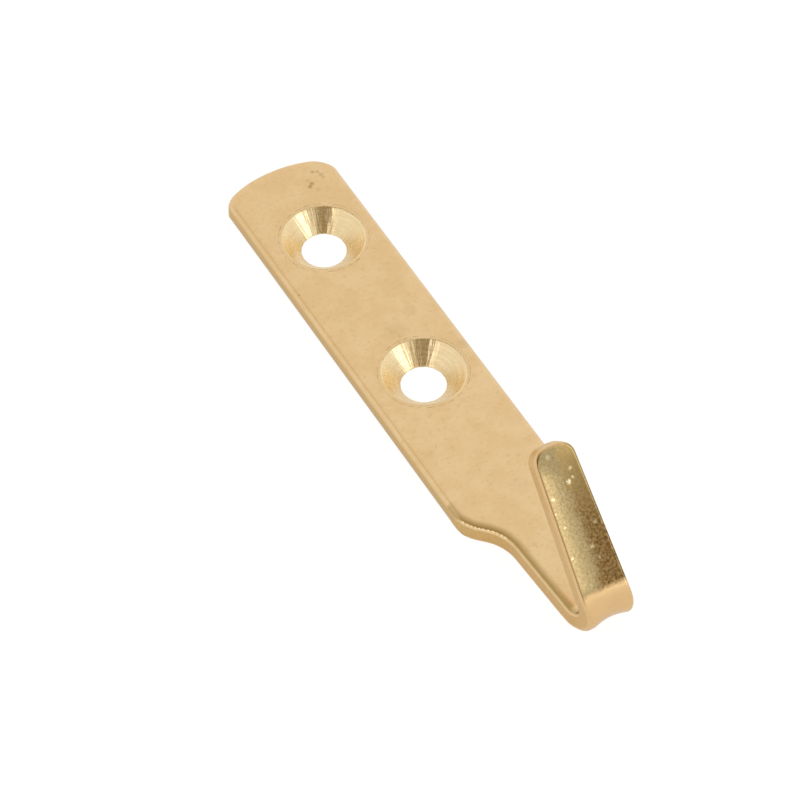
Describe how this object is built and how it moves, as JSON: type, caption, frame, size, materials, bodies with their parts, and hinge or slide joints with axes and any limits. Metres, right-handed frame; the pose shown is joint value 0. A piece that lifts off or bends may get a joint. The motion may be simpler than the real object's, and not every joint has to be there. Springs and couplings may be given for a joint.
{
  "type": "picture hook",
  "caption": "Flat brass strip hook with countersunk screw holes and a narrow tongue folded forward and up to hold a picture's cord, wire or ring.",
  "frame": {"origin": "on the back face, on the line through the two screw holes and midway between them", "axes": "+Z points out of the face, away from the wall; +Y runs along the strip to its rounded upper end; +X is to the right, seen from the front"},
  "size_m": [0.0122, 0.0647, 0.016],
  "materials": {
    "brass": "tumbled, satin bright brass"
  },
  "bodies": {
    "root": {"picture_hook": "brass"}
  },
  "joints": []
}
